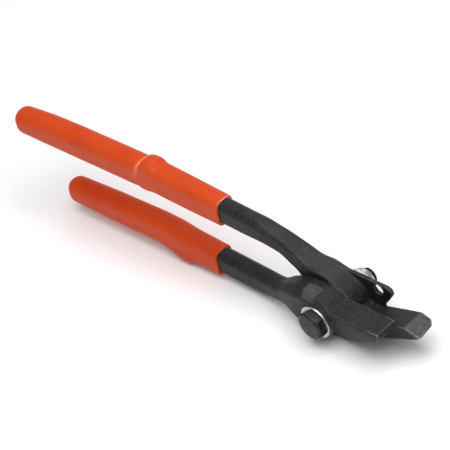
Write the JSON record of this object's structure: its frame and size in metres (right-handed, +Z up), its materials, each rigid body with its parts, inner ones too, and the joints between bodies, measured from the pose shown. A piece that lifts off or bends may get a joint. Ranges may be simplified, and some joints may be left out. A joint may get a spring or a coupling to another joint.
{
  "type": "metal shear",
  "caption": "Hand shear for steel strapping: crossed forged levers on one hex pivot bolt, upper blade, slim foot, side wall with hanging hole, dipped orange grips.",
  "frame": {"origin": "under the middle of the closed tool's bounding box, on the surface it stands on", "axes": "+X along the tool towards the jaw tips, +Y along the pivot bolt from its head to its nut, +Z up, from the front handle to the rear handle"},
  "size_m": [0.3002, 0.0492, 0.0653],
  "materials": {
    "lever_black": "black forged, satin",
    "grip_vinyl": "dip-moulded, soft sheen",
    "zinc_plate": "zinc plated, dull",
    "bolt_steel": "dull, blackened"
  },
  "bodies": {
    "front": {"front_lever": "lever_black", "front_grip": "grip_vinyl"},
    "rear": {"rear_lever": "lever_black", "rear_grip": "grip_vinyl", "pivot_bolt": "bolt_steel", "head_washer": "zinc_plate", "nut_washer": "zinc_plate", "lock_nut": "zinc_plate"}
  },
  "joints": [
    {"name": "pivot", "type": "hinge", "parent": "front", "child": "rear", "pos_m": [0.089, -0.01118, 0.0152], "axis": [0, 1, 0], "range_deg": [0, 28]}
  ]
}
